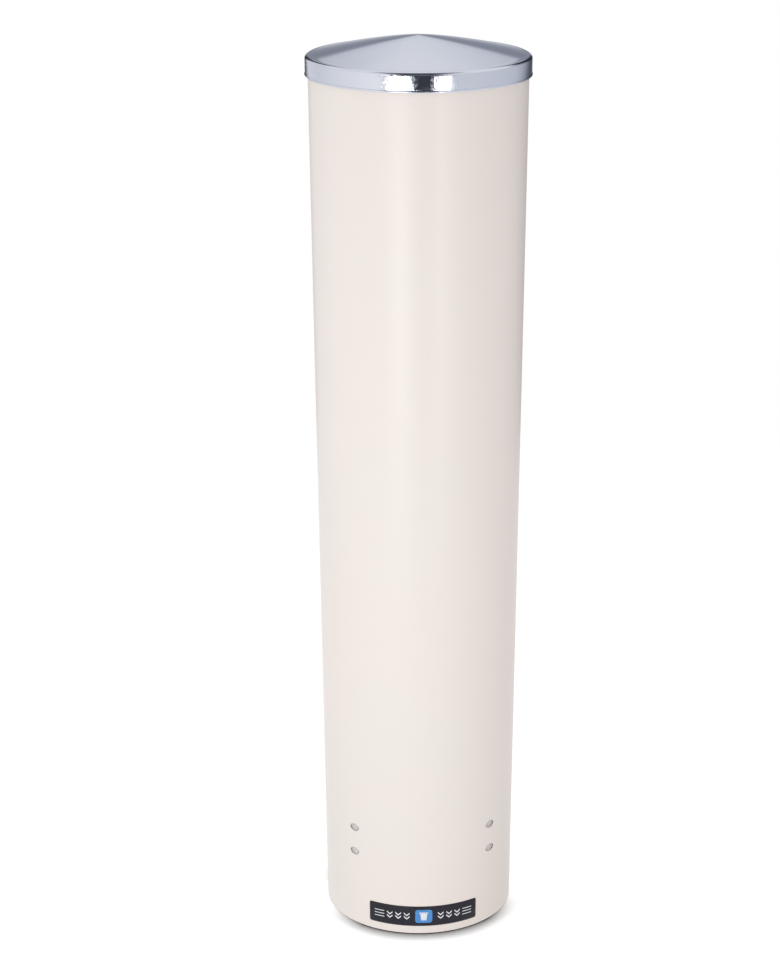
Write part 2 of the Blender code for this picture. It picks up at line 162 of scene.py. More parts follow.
def extrudeOutline(name, outline, low, high):  # outline is (x, z), pulled along y
    obj = traceLine(name, [(x, low, z) for x, z in outline])
    bpy.ops.mesh.edge_face_add()
    extrudeBy((0, high - low, 0))
    faceOut(obj)
    settle(obj)
    return obj


def nameAdded(name, scale=(1, 1, 1)):  # for what was just added
    obj = bpy.context.object
    obj.name = name
    obj.scale = scale
    settle(obj)
    return obj


def addBlock(name, low, high):
    deselect()
    bpy.ops.mesh.primitive_cube_add(size=1, location=(Vector(high) + Vector(low)) / 2)
    return nameAdded(name, Vector(high) - Vector(low))


def addRod(name, start, end, radius, sides=48):
    deselect()
    run = Vector(end) - Vector(start)
    turn = Vector((0, 0, 1)).rotation_difference(run).to_euler()
    bpy.ops.mesh.primitive_cylinder_add(
        vertices=sides, radius=radius, depth=run.length, location=Vector(start) + run / 2, rotation=turn
    )
    return nameAdded(name)


def addCore(name, inset, low, high):  # a solid with the tube's taper
    deselect()
    bpy.ops.mesh.primitive_cone_add(
        vertices=tube["steps"], radius1=outerRadius(low) - inset, radius2=outerRadius(high) - inset,
        depth=high - low, location=(0, 0, (low + high) / 2),
    )
    return nameAdded(name)


def applyModifier(obj, kind, **values):
    pick(obj)
    modifier = obj.modifiers.new(kind.lower(), kind)
    for key, value in values.items():
        setattr(modifier, key, value)
    bpy.ops.object.modifier_apply(modifier=modifier.name)


def combine(obj, other, operation):
    applyModifier(obj, "BOOLEAN", operation=operation, solver="EXACT", object=other)
    bpy.data.objects.remove(other)


def cut(obj, other):
    combine(obj, other, "DIFFERENCE")


def softenEdges(obj, width, segments=2, angle=35):
    applyModifier(
        obj, "BEVEL", width=width, segments=segments, limit_method="ANGLE", angle_limit=radians(angle),
        use_clamp_overlap=True, miter_outer="MITER_ARC",
    )


def sliceAcross(obj, left, width, count):  # extra edges, so that a flat piece can be bent
    editAll(obj)
    for i in range(1, count):
        bpy.ops.mesh.select_all(action="SELECT")
        bpy.ops.mesh.bisect(plane_co=(left + width * i / count, 0, 0), plane_no=(1, 0, 0))
    leaveEdit()


def wrapOnTube(obj):  # x runs round the tube, and -y is out from its surface
    for vert in obj.data.vertices:
        angle = vert.co.x / tube["baseRadius"]
        radius = outerRadius(vert.co.z) - vert.co.y
        vert.co = (radius * sin(angle), -radius * cos(angle), vert.co.z)
    obj.data.update()


def copyTurned(obj, name, angle, mirrored=False):
    pick(obj)
    bpy.ops.object.duplicate()
    twin = bpy.context.object
    twin.name = name
    twin.data.name = name
    if mirrored:
        twin.scale.y = -1
        settle(twin)
        faceOut(twin)
    twin.rotation_euler.z = angle
    settle(twin)
    return twin


def finishPiece(obj, material, body, replaced=(), smooth=35):
    pick(obj)
    bpy.ops.object.shade_smooth_by_angle(angle=radians(smooth))
    obj.data.name = obj.name
    obj.data.materials.clear()
    obj.data.materials.append(material)
    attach(obj, body)
    if replaced:
        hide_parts(*replaced)


def feed(tree, node, inputs):  # links each socket and sets each plain value
    for key, value in inputs.items():
        if isinstance(value, bpy.types.NodeSocket):
            tree.links.new(value, node.inputs[key])
        else:
            node.inputs[key].default_value = value


def addNode(tree, kind, inputs=None, **settings):
    node = tree.nodes.new("ShaderNode" + kind)
    for key, value in settings.items():
        setattr(node, key, value)
    feed(tree, node, inputs or {})
    return node.outputs


def addMath(tree, operation, a, b=0.0):
    return addNode(tree, "Math", {0: a, 1: b}, operation=operation)[0]


def times(tree, product, *others):
    for other in others:
        product = addMath(tree, "MULTIPLY", product, other)
    return product


def addRange(tree, value, low, high, toLow=0.0, toHigh=1.0):
    return addNode(tree, "MapRange", {
        "Value": value, "From Min": low, "From Max": high, "To Min": toLow, "To Max": toHigh
    })["Result"]


def addNoise(tree, vector, scale, detail, roughness):
    return addNode(tree, "TexNoise", {
        "Vector": vector, "Scale": scale, "Detail": detail, "Roughness": roughness
    })["Fac"]


def addMix(tree, factor, a, b, blend="MIX"):  # the colour mix has sockets 0, 6 and 7, and output 2
    return addNode(tree, "Mix", {0: factor, 6: a, 7: b}, data_type="RGBA", blend_type=blend)[2]


# Node groups that several finishes share
def startGroup(name, scales, results):
    group = bpy.data.node_groups.new(name, "ShaderNodeTree")
    group.interface.new_socket("Vector", in_out="INPUT", socket_type="NodeSocketVector")
    for label, value in scales.items():
        socket = group.interface.new_socket(label, in_out="INPUT", socket_type="NodeSocketFloat")
        socket.default_value = value
    for label in results:
        group.interface.new_socket(label, in_out="OUTPUT", socket_type="NodeSocketFloat")
    return group, group.nodes.new("NodeGroupInput").outputs, group.nodes.new("NodeGroupOutput")


def makeMouldSkin():  # slow waves in the gloss, fine orange peel and a faint cloud of colour
    scales = {"Peel Scale": 900.0, "Wave Scale": 14.0, "Cloud Scale": 9.0}
    group, given, end = startGroup("mouldSkin", scales, ("Height", "Cloud", "Gloss"))
    peel = addNoise(group, given["Vector"], given["Peel Scale"], 2.0, 0.45)
    waves = addNoise(group, given["Vector"], given["Wave Scale"], 3.0, 0.5)
    cloud = addNoise(group, given["Vector"], given["Cloud Scale"], 4.0, 0.55)
    feed(group, end, {
        "Height": addMath(group, "ADD", peel, times(group, waves, 0.6)),
        "Cloud": addRange(group, cloud, 0.32, 0.68),
        "Gloss": addRange(group, waves, 0.3, 0.7),
    })
    return group


def makeRubMarks():  # streaks drawn out along the height, where things slide past
    group, given, end = startGroup("rubMarks", {"Across": 260.0, "Along": 6.0}, ("Mask",))
    stretch = addNode(group, "CombineXYZ", {0: given["Across"], 1: given["Across"], 2: given["Along"]})[0]
    place = addNode(group, "VectorMath", {0: given["Vector"], 1: stretch}, operation="MULTIPLY")[0]
    feed(group, end, {"Mask": addRange(group, addNoise(group, place, 1.0, 5.0, 0.65), 0.52, 0.75)})
    return group


def makeSmudges():  # broad soft patches and fine hairlines, for bare metal
    group, given, end = startGroup("smudges", {"Patch Scale": 22.0, "Line Scale": 90.0}, ("Patches", "Lines"))
    patches = addNoise(group, given["Vector"], given["Patch Scale"], 6.0, 0.62)
    web = {"Vector": given["Vector"], "Scale": given["Line Scale"]}
    lines = addNode(group, "TexVoronoi", web, feature="DISTANCE_TO_EDGE")["Distance"]
    feed(group, end, {
        "Patches": addRange(group, patches, 0.45, 0.7),
        "Lines": addRange(group, lines, 0.0, 0.02, 1.0, 0.0),
    })
    return group


mouldSkin = makeMouldSkin()
rubMarks = makeRubMarks()
smudges = makeSmudges()


def startMaterial(name, look):
    material = bpy.data.materials.new(name)
    material.use_nodes = True
    tree = material.node_tree
    shader = tree.nodes["Principled BSDF"]
    feed(tree, shader, look["plain"])
    coords = addNode(tree, "TexCoord")["Object"]
    return material, tree, shader, coords


def useGroup(tree, group, coords, scales):
    return addNode(tree, "Group", {"Vector": coords, **scales}, node_tree=group)


def dress(tree, shader, look, colour, gloss, height, polish=0.0):
    strength, distance = look["bump"]
    bump = addNode(tree, "Bump", {"Height": height, "Strength": strength, "Distance": distance})
    rough = addRange(tree, gloss, 0, 1, *look["roughness"])
    feed(tree, shader, {
        "Base Color": colour, "Roughness": addMath(tree, "SUBTRACT", rough, polish), "Normal": bump["Normal"]
    })


# In each finish, plain is set on the shader as it is, and bump is (strength, distance)
sandFinish = {
    "plain": {"Specular IOR Level": 0.2, "Coat Weight": 0.5, "Coat Roughness": 0.33},
    "warm": (0.790, 0.718, 0.680, 1),
    "cool": (0.776, 0.728, 0.688, 1),
    "roughness": (0.46, 0.54),
    "bump": (0.06, 0.0002),
    "scuffed": (0.86, 0.80, 0.74, 1),
    "scuffShare": 0.35,
    "scuffPolish": 0.1,
    "scuffDepth": (0.0002, 0.0008),
}


def makeSand():
    look = sandFinish
    material, tree, shader, coords = startMaterial("sandPlastic", look)
    skin = useGroup(tree, mouldSkin, coords, {})
    rubs = useGroup(tree, rubMarks, coords, {})
    # the bore carries the pale scuffs of stacks that slid down it
    x, y, z = addNode(tree, "SeparateXYZ", {"Vector": coords})
    across = addMath(tree, "SQRT", addMath(tree, "ADD", times(tree, x, x), times(tree, y, y)))
    slope = (tube["topRadius"] - tube["baseRadius"]) / tube["height"]
    depth = addMath(tree, "SUBTRACT", across, times(tree, z, slope))
    start, end = (boreRadius(0) + deep for deep in look["scuffDepth"])
    scuffs = times(tree, rubs["Mask"], addRange(tree, depth, start, end, 1.0, 0.0))
    colour = addMix(tree, skin["Cloud"], look["cool"], look["warm"])
    colour = addMix(tree, times(tree, scuffs, look["scuffShare"]), colour, look["scuffed"])
    polish = times(tree, scuffs, look["scuffPolish"])
    dress(tree, shader, look, colour, skin["Gloss"], skin["Height"], polish)
    return material


chromeFinish = {
    "plain": {"Metallic": 1.0},
    "colour": (0.62, 0.645, 0.725, 1),
    "hazed": (0.56, 0.575, 0.63, 1),
    "hazeShare": 0.35,
    "roughness": (0.035, 0.075),
    "bump": (0.65, 0.00015),
    "grainScale": 1150.0,
    "domeShare": 0.09,
    "domeFade": 0.0008,
}


def makeChrome():
    look = chromeFinish
    material, tree, shader, coords = startMaterial("chromePlate", look)
    marks = useGroup(tree, smudges, coords, {})
    colour = addMix(tree, times(tree, marks["Patches"], look["hazeShare"]), look["colour"], look["hazed"])
    # the pressed skirt is grainier than the spun dome
    z = addNode(tree, "SeparateXYZ", {"Vector": coords})["Z"]
    share = addRange(tree, z, tube["height"], tube["height"] + look["domeFade"], 1.0, look["domeShare"])
    grain = times(tree, addNoise(tree, coords, look["grainScale"], 1.5, 0.5), share)
    dress(tree, shader, look, colour, marks["Patches"], grain)
    return material


labelFinish = {
    "plain": {"Specular IOR Level": 0.24},
    "colour": (0.010, 0.010, 0.017, 1),
    "worn": (0.018, 0.018, 0.027, 1),
    "wornShare": 0.5,
    "roughness": (0.36, 0.46),
    "bump": (0.05, 0.0001),
    "scales": {"Peel Scale": 1600.0, "Cloud Scale": 60.0, "Wave Scale": 40.0},
}


def makeLabelFilm():
    look = labelFinish
    material, tree, shader, coords = startMaterial("labelFilm", look)
    skin = useGroup(tree, mouldSkin, coords, look["scales"])
    colour = addMix(tree, times(tree, skin["Cloud"], look["wornShare"]), look["colour"], look["worn"])
    dress(tree, shader, look, colour, skin["Gloss"], skin["Height"])
    return material


inkFinish = {
    "plain": {},
    "paleInk": ((0.80, 0.81, 0.83, 1), (0.70, 0.71, 0.74, 1)),
    "blueInk": ((0.045, 0.22, 0.55, 1), (0.07, 0.26, 0.60, 1)),
    "roughness": (0.38, 0.5),
    "bump": (0.08, 0.00008),
    "scales": {"Peel Scale": 2200.0, "Cloud Scale": 180.0, "Wave Scale": 70.0},
}


def makeInk(name):
    look = inkFinish
    material, tree, shader, coords = startMaterial(name, look)
    skin = useGroup(tree, mouldSkin, coords, look["scales"])
    dress(tree, shader, look, addMix(tree, skin["Cloud"], *look[name]), skin["Gloss"], skin["Height"])
    return material


acetalFinish = {
    "plain": {
        "Subsurface Weight": 0.08, "Subsurface Radius": (0.0012, 0.0011, 0.001), "Subsurface Scale": 0.5
    },
    "colour": (0.548, 0.520, 0.506, 1),
    "milky": (0.600, 0.572, 0.556, 1),
    "rubbed": (0.64, 0.60, 0.56, 1),
    "rubShare": 0.2,
    "roughness": (0.40, 0.52),
    "bump": (0.08, 0.0001),
    "scales": {"Peel Scale": 1300.0, "Cloud Scale": 70.0, "Wave Scale": 50.0},
    "rubScales": {"Across": 900.0, "Along": 60.0},
}


def makeAcetal():
    look = acetalFinish
    material, tree, shader, coords = startMaterial("naturalAcetal", look)
    skin = useGroup(tree, mouldSkin, coords, look["scales"])
    rubs = useGroup(tree, rubMarks, coords, look["rubScales"])
    colour = addMix(tree, skin["Cloud"], look["colour"], look["milky"])
    colour = addMix(tree, times(tree, rubs["Mask"], look["rubShare"]), colour, look["rubbed"])
    dress(tree, shader, look, colour, skin["Gloss"], skin["Height"])
    return material


springFinish = {
    "plain": {"Metallic": 1.0},
    "colour": (0.56, 0.57, 0.59, 1),
    "blued": (0.50, 0.50, 0.53, 1),
    "rubbed": (0.66, 0.66, 0.67, 1),
    "rubShare": 0.5,
    "roughness": (0.22, 0.36),
    "bump": (0.12, 0.00005),
    "scales": {"Patch Scale": 120.0},
    "rubScales": {"Across": 2600.0, "Along": 30.0},
}


def makeSpringSteel():
    look = springFinish
    material, tree, shader, coords = startMaterial("springSteel", look)
    rubs = useGroup(tree, rubMarks, coords, look["rubScales"])
    marks = useGroup(tree, smudges, coords, look["scales"])
    colour = addMix(tree, marks["Patches"], look["colour"], look["blued"])
    colour = addMix(tree, times(tree, rubs["Mask"], look["rubShare"]), colour, look["rubbed"])
    dress(tree, shader, look, colour, rubs["Mask"], rubs["Mask"])
    return material


zincFinish = {
    "plain": {"Metallic": 1.0},
    "colour": (0.63, 0.64, 0.66, 1),
    "yellowed": (0.58, 0.56, 0.50, 1),
    "scratched": (0.42, 0.42, 0.42, 1),
    "scratchShare": 0.3,
    "roughness": (0.24, 0.4),
    "bump": (0.1, 0.00005),
    "scales": {"Patch Scale": 400.0, "Line Scale": 900.0},
}


def makeZinc():
    look = zincFinish
    material, tree, shader, coords = startMaterial("zincPlate", look)
    marks = useGroup(tree, smudges, coords, look["scales"])
    colour = addMix(tree, marks["Patches"], look["colour"], look["yellowed"])
    colour = addMix(tree, times(tree, marks["Lines"], look["scratchShare"]), colour, look["scratched"])
    dress(tree, shader, look, colour, marks["Patches"], marks["Patches"])
    return material


sandPlastic = makeSand()
chromePlate = makeChrome()
labelFilm = makeLabelFilm()
paleInk = makeInk("paleInk")
blueInk = makeInk("blueInk")
naturalAcetal = makeAcetal()
springSteel = makeSpringSteel()
zincPlate = makeZinc()
print("finishes ready")


tubeShell = {
    "rimRound": 0.0005,
    "lipChamfer": 0.0004,
    "rings": (0.0030, 0.0235, 0.045, 0.085, 0.105, 0.185, 0.265, 0.345, 0.425, 0.535, 0.575),
    "pegAzimuth": radians(45.4),
    "pegHeights": (0.0554, 0.0735),
    "pegHole": 0.0028,
    "screwHeights": (0.120, 0.160, 0.460, 0.500),
    "screwHole": 0.0018,
    "recessDepth": 0.0006,
}
label = {
    "width": 0.0778,
    "height": 0.0147,
    "bottom": 0.0060,
    "inner": 0.0003,
    "proud": 0.0002,
    "corner": 0.0012,
    "bends": 48,
    "edge": 0.00012,
}
pegRadius = outerRadius(sum(tubeShell["pegHeights"]) / 2)
pegX = pegRadius * sin(tubeShell["pegAzimuth"])


def roundedPlate(name, width, height, low, corner, outside, inside, steps=6):
    outline = roundedOutline(-width / 2, width / 2, low, low + height, corner, steps)
    return extrudeOutline(name, outline, outside, inside)


def bendOnTube(obj, width, bends):
    sliceAcross(obj, -width / 2, width, bends)
    wrapOnTube(obj)


def makeTubeShell():
    foot, top, height, wall = tube["baseRadius"], tube["topRadius"], tube["height"], tube["wall"]
    rim, chamfer = tubeShell["rimRound"], tubeShell["lipChamfer"]
    outline = arc((foot - rim, rim), rim, -pi / 2, 0, 6)
    outline += [(outerRadius(z), z) for z in tubeShell["rings"]]
    outline += arc((top - rim, height - rim), rim, 0, pi / 2, 6)
    outline += [(top - wall + chamfer, height), (top - wall, height - chamfer)]
    outline += [(boreRadius(z), z) for z in reversed(tubeShell["rings"])]
    outline += [(foot - wall, chamfer), (foot - wall + chamfer, 0)]
    shell = turnOutline("tubeShell", outline, tube["steps"], ring=True)
    reach = top + overrun
    for x in (-pegX, pegX):
        for z in tubeShell["pegHeights"]:
            cut(shell, addRod("pegBore", (x, -reach, z), (x, reach, z), tubeShell["pegHole"]))
    for z in tubeShell["screwHeights"]:
        start = (0, boreRadius(z) - overrun, z)
        cut(shell, addRod("screwBore", start, (0, reach, z), tubeShell["screwHole"], 32))
    width = label["width"] + 2 * gap
    recess = roundedPlate(
        "recess", width, label["height"] + 2 * gap, label["bottom"] - gap, label["corner"] + gap,
        -overrun, tubeShell["recessDepth"],
    )
    bendOnTube(recess, width, label["bends"])
    cut(shell, recess)
    faceOut(shell)
    finishPiece(shell, sandPlastic, "housing", ["dispenser_tube"])


makeTubeShell()
print("tube shell done")


capShell = {
    "wall": 0.0015,
    "sideClearance": 0.0003,
    "skirtDepth": 0.0129,
    "rise": 0.0122,
    "shoulderAcross": 0.0034,
    "shoulderDown": 0.0021,
    "shoulderSteps": 16,
    "domePower": 1.29,
    "domePoints": 40,
    "domeCrowding": 1.4,  # over 1, the points crowd towards the middle
    "seatPoints": 3,  # of the dome's points, these have the flat seat below them
    "lipHeight": 0.0015,
    "lipProud": 0.0003,
    "lipStart": radians(70),
    "neckDepth": 0.00012,
    "neckLow": 0.0003,
    "neckHigh": 0.0008,
    "edge": 0.0003,
    "seatEdge": 0.0006,
}


def makeCapShell():
    wall, down, across = capShell["wall"], capShell["shoulderDown"], capShell["shoulderAcross"]
    radius = tube["topRadius"] + capShell["sideClearance"] + wall
    inner = radius - wall
    landing = tube["height"] + gap
    shoulder = landing + wall
    low = shoulder - capShell["skirtDepth"]
    count = capShell["domePoints"]
    shares = [(i / count) ** capShell["domeCrowding"] for i in range(count + 1)]

    def dome(share):
        return (radius - across) * share, shoulder + capShell["rise"] * (1 - share ** capShell["domePower"])

    outline = [dome(share) for share in shares[:-1]]
    # the shoulder is a quarter of an ellipse
    for r, z in arc((0, 0), down, pi / 2, 0, capShell["shoulderSteps"]):
        outline.append((radius - across + r * (across / down), shoulder - down + z))
    lipRound, lipTop = capShell["lipHeight"] / 2, low + capShell["lipHeight"]
    neck = radius - capShell["neckDepth"]
    outline += [(radius, lipTop + capShell["neckHigh"]), (neck, lipTop + capShell["neckLow"]), (neck, lipTop)]
    lipCentre = (radius + capShell["lipProud"] - lipRound, low + lipRound)
    outline += arc(lipCentre, lipRound, capShell["lipStart"], -pi / 2, 12)
    edge, seatEdge = capShell["edge"], capShell["seatEdge"]
    outline += [(inner + edge, low), (inner, low + edge)]
    outline += [(inner, landing - seatEdge), (inner - seatEdge, landing)]
    under = [dome(share) for share in shares[:-capShell["seatPoints"]]]
    outline += [(r, z - wall) for r, z in reversed(under)]
    cap = turnOutline("capShell", outline, tube["steps"])
    finishPiece(cap, chromePlate, "cap", ["lift_off_cap"], smooth=40)


makeCapShell()
print("cap done")


# The label's plain pictogram: a cup in a badge, arrows that point down, and thin rules
labelArt = {
    "inkDepth": 0.00008,
    "badgeWidth": 0.0118,
    "badgeHeight": 0.0100,
    "badgeCorner": 0.0018,
    "badgeBends": 12,
    "cupTop": 0.0052,
    "cupBottom": 0.0036,
    "cupHeight": 0.0060,
    "cupInset": 0.0002,
    "rim": 0.0008,
    "rimOverhang": 0.0005,
    "arrowWidth": 0.0040,
    "arrowHeight": 0.0018,
    "arrowStroke": 0.0010,
    "arrowPlaces": (0.0118, 0.0178, 0.0238),
    "arrowLevels": (0.0013, -0.0013),
    "ruleFrom": 0.0278,
    "ruleTo": 0.0350,
    "ruleStroke": 0.0005,
    "ruleLevels": (-0.0022, 0, 0.0022),
}
labelMiddle = label["bottom"] + label["height"] / 2
inkTop, inkBottom = -label["proud"] - labelArt["inkDepth"], -label["proud"]


def makeLabelPlate():
    plate = roundedPlate(
        "labelPlate", label["width"], label["height"], label["bottom"], label["corner"],
        -label["proud"], label["inner"], 8,
    )
    softenEdges(plate, label["edge"])
    bendOnTube(plate, label["width"], label["bends"])
    finishPiece(plate, labelFilm, "housing", ["label_plate"])


def makeBadge():
    width, height = labelArt["badgeWidth"], labelArt["badgeHeight"]
    low = labelMiddle - height / 2
    badge = roundedPlate("labelBadge", width, height, low, labelArt["badgeCorner"], inkTop, inkBottom, 8)
    bendOnTube(badge, width, labelArt["badgeBends"])
    finishPiece(badge, blueInk, "housing")


def printMark(outline, width, bends, lift=0.0):  # outline is from the label's middle
    raised = [(x, z + labelMiddle) for x, z in outline]
    mark = extrudeOutline("mark", raised, inkTop - lift, inkBottom - lift)
    sliceAcross(mark, min(x for x, z in outline), width, bends)
    wrapOnTube(mark)
    return mark


def printCup():  # stands on the badge's ink
    art, lift = labelArt, labelArt["inkDepth"]
    top, foot, inset = art["cupTop"] / 2, art["cupBottom"] / 2, art["cupInset"]
    low = -art["cupHeight"] / 2
    high = low + art["cupHeight"] - art["rim"]
    body = [(-foot, low), (foot, low), (top - inset, high - inset), (inset - top, high - inset)]
    wide = top + art["rimOverhang"]
    rim = boxOutline(-wide, wide, high, high + art["rim"])
    return [printMark(body, art["cupTop"], 6, lift), printMark(rim, 2 * wide, 6, lift)]


def printArrow(x, z):
    wide, tall = labelArt["arrowWidth"] / 2, labelArt["arrowHeight"] / 2
    stroke = labelArt["arrowStroke"]
    lower = [(x - wide, z + tall), (x, z - tall), (x + wide, z + tall)]
    upper = [(px, pz + stroke) for px, pz in reversed(lower)]
    return printMark([(px, pz - stroke / 2) for px, pz in lower + upper], 2 * wide, 4)


def makeMarks():
    marks = printCup()
    half = labelArt["ruleStroke"] / 2
    for side in (-1, 1):
        for place in labelArt["arrowPlaces"]:
            marks += [printArrow(side * place, z) for z in labelArt["arrowLevels"]]
        left, right = sorted((side * labelArt["ruleFrom"], side * labelArt["ruleTo"]))
        for z in labelArt["ruleLevels"]:
            marks.append(printMark(boxOutline(left, right, z - half, z + half), right - left, 6))
    joinTo(marks[0], marks[1:])
    marks[0].name = "labelMarks"
    finishPiece(marks[0], paleInk, "housing")


makeLabelPlate()
makeBadge()
makeMarks()
print("label done")


# Fingers, their pads and their springs stand at four places round the bore: name, angle, mirrored
stations = (
    ("front_left", -pi / 2 - tubeShell["pegAzimuth"], False),
    ("front_right", tubeShell["pegAzimuth"] - pi / 2, True),
    ("rear_right", pi / 2 - tubeShell["pegAzimuth"], False),
    ("rear_left", pi / 2 + tubeShell["pegAzimuth"], True),
)
finger = {
    "length": 0.0380,
    "width": 0.0140,
    "lean": radians(28),
    "swing": radians(20),
    "neck": 0.0022,
    "root": 0.0030,
    "end": 0.0020,
    "shoulder": 0.0018,
    "neckClearance": 0.0005,
    "bead": 0.0020,
    "tip": 0.0018,
    "edge": 0.00035,
    "ribHeight": 0.0009,
    "ribWidth": 0.0012,
    "ribPlace": 0.0059,
    "ribFrom": 0.0085,
    "ribTo": 0.0340,
    "ribRise": 0.003,
    "ribFall": 0.012,
    "ribSlack": 0.8,
    "ribRoot": 0.0008,
    "ribToe": 0.0004,
    "ribEdge": 0.0003,
}
pad = {
    "cheek": 0.0018,
    "thickness": 0.0057,
    "ledge": 0.0012,
    "leadIn": 0.0050,
    "abovePeg": 0.0090,
    "housingWall": 0.0020,
    "pivotBelowPeg": 0.0074,
    "pegRecess": 0.0008,
    "pegRoot": 0.0070,
    "pegOverrun": 0.006,
    "pegEdge": 0.0002,
    "edge": 0.00025,
    "coreFrom": -0.01,
    "coreTo": 0.2,
}
spring = {
    "thickness": 0.0005,
    "width": 0.0090,
    "tab": 0.0060,
    "tailDrop": 0.0010,
    "curl": 0.0020,
    "contact": 0.0190,
    "arrival": radians(28),
    "curlEnd": radians(75),
    "bendShare": 0.40,
    "steps": 18,
    "curlSteps": 14,
    "edge": 0.00012,
    "keep": 0.46,
}
pivotHeight = tubeShell["pegHeights"][0] - pad["pivotBelowPeg"]
pivotRadius = boreRadius(pivotHeight) - pad["thickness"]
housingRadius = finger["bead"] + gap + pad["housingWall"]
tabLow = pivotHeight - housingRadius
tailRadius = boreRadius(tabLow - spring["tailDrop"])
tabPlane = sqrt(tailRadius ** 2 - (spring["width"] / 2) ** 2) - gap - spring["thickness"] / 2


def alongFinger(lean):  # unit vectors (x, z) down the finger, and square to it towards the wall
    return Vector((-sin(lean), -cos(lean))), Vector((cos(lean), -sin(lean)))


def onFinger(outline):  # from (along the finger, out from its middle) to (x, z)
    down, out = alongFinger(finger["lean"])
    return [tuple(Vector((pivotRadius, pivotHeight)) + down * u + out * v) for u, v in outline]


def makeRib(side):  # a low rib on the back, beside the spring
    root, end = finger["root"] / 2, finger["end"] / 2
    height, start, stop = finger["ribHeight"], finger["ribFrom"], finger["ribTo"]
    outline = [(start, root - finger["ribRoot"]), (start + finger["ribRise"], root + height)]
    outline.append((stop - finger["ribFall"], root + height * finger["ribSlack"]))
    outline.append((stop, end - finger["ribToe"]))
    y, half = side * finger["ribPlace"], finger["ribWidth"] / 2
    rib = extrudeOutline("rib", onFinger(outline), y - half, y + half)
    softenEdges(rib, finger["ribEdge"], 2, 30)
    return rib


def makeFinger():
    neck, root, end = finger["neck"] / 2, finger["root"] / 2, finger["end"] / 2
    beadTurn = asin(neck / finger["bead"])
    tipTurn = pi - asin(end / finger["tip"])
    neckEnd = housingRadius + finger["neckClearance"]
    shoulder = neckEnd + finger["shoulder"]
    outline = arc((0, 0), finger["bead"], beadTurn, 2 * pi - beadTurn, 32)
    outline += [(neckEnd, -neck), (shoulder, -root)]
    outline += arc((finger["length"] - finger["tip"], 0), finger["tip"], -tipTurn, tipTurn, 24)
    outline += [(shoulder, root), (neckEnd, neck)]
    piece = extrudeOutline("fingerStart", onFinger(outline), -finger["width"] / 2, finger["width"] / 2)
    softenEdges(piece, finger["edge"], 3)
    for side in (-1, 1):
        combine(piece, makeRib(side), "UNION")
    return piece


def mouthOutline():  # the room that the finger's bead and neck sweep through
    groove = finger["bead"] + gap
    gape = asin((finger["neck"] / 2 + gap) / groove)
    rest, _ = alongFinger(finger["lean"])
    limit, _ = alongFinger(finger["lean"] - finger["swing"])
    restAngle = atan2(rest.y, rest.x)
    start, end = restAngle + finger["swing"] + gape, restAngle - gape + 2 * pi
    mouth = arc((pivotRadius, pivotHeight), groove, start, end, 40)
    reach = housingRadius + overrun
    mouth.append(tuple(Vector(mouth[-1]) + rest * reach))
    mouth.append(tuple(Vector(mouth[0]) + limit * reach))
    return mouth


def makePeg(z):
    slope = Vector((cos(tubeShell["pegAzimuth"]), sin(tubeShell["pegAzimuth"]), 0))
    middle = Vector((pegRadius, 0, z))
    start, end = middle - slope * pad["pegRoot"], middle + slope * pad["pegOverrun"]
    peg = addRod("peg", start, end, tubeShell["pegHole"] - gap, 64)
    combine(peg, addCore("skin", pad["pegRecess"], 0.0, pad["coreTo"]), "INTERSECT")
    softenEdges(peg, pad["pegEdge"], 2, 40)
    return peg


def makePad():
    top = tubeShell["pegHeights"][1] + pad["abovePeg"]
    wall = boreRadius(top) + overrun
    outline = [(wall, tabLow), (wall, top)]
    outline += [(boreRadius(top) - pad["ledge"], top), (pivotRadius, top - pad["leadIn"])]
    outline += arc((pivotRadius, pivotHeight), housingRadius, pi / 2, 1.5 * pi, 24)
    width = finger["width"] / 2 + gap
    piece = extrudeOutline("padStart", outline, -width - pad["cheek"], width + pad["cheek"])
    combine(piece, addCore("bore", tube["wall"] + gap, pad["coreFrom"], pad["coreTo"]), "INTERSECT")
    floor = tabPlane - spring["thickness"] / 2 - gap
    side = spring["width"] / 2 + gap
    corner = (wall, side, tabLow + spring["tab"] + gap)
    cut(piece, addBlock("rebate", (floor, -side, tabLow - overrun), corner))
    cut(piece, extrudeOutline("mouth", mouthOutline(), -width, width))
    softenEdges(piece, pad["edge"], 2, 40)
    for z in tubeShell["pegHeights"]:
        combine(piece, makePeg(z), "UNION")
    faceOut(piece)
    return piece


def springLine():  # down the wall, across in a smooth bend, and round the curl on the finger's back
    tail = Vector((tabPlane, tabLow - spring["tailDrop"]))
    down, out = alongFinger(finger["lean"])
    curl = Vector((pivotRadius, pivotHeight)) + down * spring["contact"]
    curl += out * (finger["root"] / 2 + gap + spring["thickness"] / 2 + spring["curl"])
    inward = atan2(-out.y, -out.x)
    start = inward - spring["arrival"]
    turn = arc(curl, spring["curl"], start, inward + spring["curlEnd"], spring["curlSteps"])
    arrival = Vector(turn[0])
    heading = start + pi / 2
    pull = (arrival - tail).length * spring["bendShare"]
    leave = tail + Vector((0, -1)) * pull
    arrive = arrival - Vector((cos(heading), sin(heading))) * pull
    line = [(tabPlane, tabLow + spring["tab"]), tuple(tail)]
    for i in range(1, spring["steps"]):
        t = i / spring["steps"]
        s = 1 - t
        line.append(tuple(tail * s**3 + leave * 3 * s**2 * t + arrive * 3 * s * t**2 + arrival * t**3))
    return line + turn


def makeSpring():
    piece = traceLine("springStart", [(x, -spring["width"] / 2, z) for x, z in springLine()])
    extrudeBy((0, spring["width"], 0))
    leaveEdit()
    settle(piece)
    applyModifier(piece, "SOLIDIFY", thickness=spring["thickness"], offset=0, use_even_offset=True)
    faceOut(piece)
    softenEdges(piece, spring["edge"], 2, 50)
    return piece


